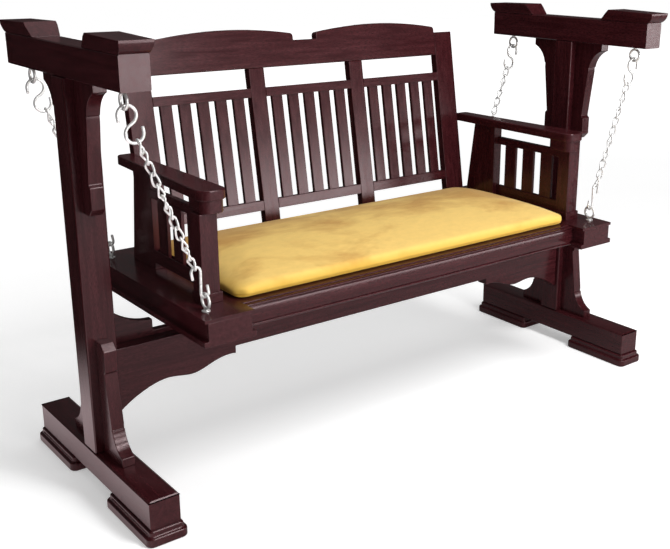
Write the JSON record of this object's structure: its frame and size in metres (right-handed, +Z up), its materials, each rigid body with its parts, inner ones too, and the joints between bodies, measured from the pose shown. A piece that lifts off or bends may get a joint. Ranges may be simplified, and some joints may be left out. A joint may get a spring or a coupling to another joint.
{
  "type": "jhoola swing",
  "caption": "Free-standing wooden jhoola: cushioned bench with a slatted, reclined back and arms, hung by chains from two braced trestles.",
  "frame": {"origin": "centre of the footprint, on the floor under the foot pads", "axes": "+X along the seat to the right-hand trestle, -Y the way a sitter faces, +Z up"},
  "size_m": [1.726, 0.67, 1.109],
  "materials": {
    "lacquered_wood": "gloss lacquer",
    "steel": "bright zinc plating",
    "velvet": "golden velvet"
  },
  "bodies": {
    "bench": {"arm_left": "lacquered_wood", "arm_plugs": "lacquered_wood", "arm_right": "lacquered_wood", "back_post_left": "lacquered_wood", "back_post_right": "lacquered_wood", "back_slats": "lacquered_wood", "back_stile_left": "lacquered_wood", "back_stile_right": "lacquered_wood", "crest_rail": "lacquered_wood", "cushion": "velvet", "deck_bearers": "lacquered_wood", "end_plate_left": "lacquered_wood", "end_plate_right": "lacquered_wood", "end_rail_left": "lacquered_wood", "end_rail_right": "lacquered_wood", "front_arm_post_left": "lacquered_wood", "front_arm_post_right": "lacquered_wood", "front_rail": "lacquered_wood", "lower_eye_bolts": "steel", "lower_slat_rail": "lacquered_wood", "post_plinths": "lacquered_wood", "rear_arm_post_left": "lacquered_wood", "rear_arm_post_right": "lacquered_wood", "rear_rail": "lacquered_wood", "seat_deck": "lacquered_wood", "side_bottom_rail_left": "lacquered_wood", "side_bottom_rail_right": "lacquered_wood", "side_slats": "lacquered_wood", "side_top_rail_left": "lacquered_wood", "side_top_rail_right": "lacquered_wood", "upper_slat_rail": "lacquered_wood"},
    "trestles": {"cap_blocks_left": "lacquered_wood", "cap_blocks_right": "lacquered_wood", "foot_beam_left": "lacquered_wood", "foot_beam_right": "lacquered_wood", "foot_pads": "lacquered_wood", "head_beam_left": "lacquered_wood", "head_beam_right": "lacquered_wood", "lower_brackets_left": "lacquered_wood", "lower_brackets_right": "lacquered_wood", "post_left": "lacquered_wood", "post_right": "lacquered_wood", "stretcher_front_board": "lacquered_wood", "stretcher_rear_board": "lacquered_wood", "upper_brackets_left": "lacquered_wood", "upper_brackets_right": "lacquered_wood", "upper_eye_bolts": "steel"},
    "front_chains": {"chain_front_left": "steel", "chain_front_right": "steel", "lower_hook_front_left": "steel", "lower_hook_front_right": "steel", "upper_hook_front_left": "steel", "upper_hook_front_right": "steel"},
    "rear_chains": {"chain_rear_left": "steel", "chain_rear_right": "steel", "lower_hook_rear_left": "steel", "lower_hook_rear_right": "steel", "upper_hook_rear_left": "steel", "upper_hook_rear_right": "steel"}
  },
  "joints": [
    {"name": "front_chain_swing", "type": "hinge", "parent": "trestles", "child": "front_chains", "pos_m": [0, -0.255, 0.96834], "axis": [1, 0, 0], "range_deg": [-25, 25]},
    {"name": "bench_level", "type": "hinge", "parent": "front_chains", "child": "bench", "pos_m": [0, -0.255, 0.5269], "axis": [1, 0, 0], "range_deg": [-25, 25]},
    {"name": "rear_chain_swing", "type": "hinge", "parent": "trestles", "child": "rear_chains", "pos_m": [0, 0.255, 0.96834], "axis": [1, 0, 0], "range_deg": [-25, 25]}
  ],
  "couplings": [
    {"joint": "bench_level", "follows": "front_chain_swing", "ratio": -1},
    {"joint": "rear_chain_swing", "follows": "front_chain_swing", "ratio": 1}
  ]
}
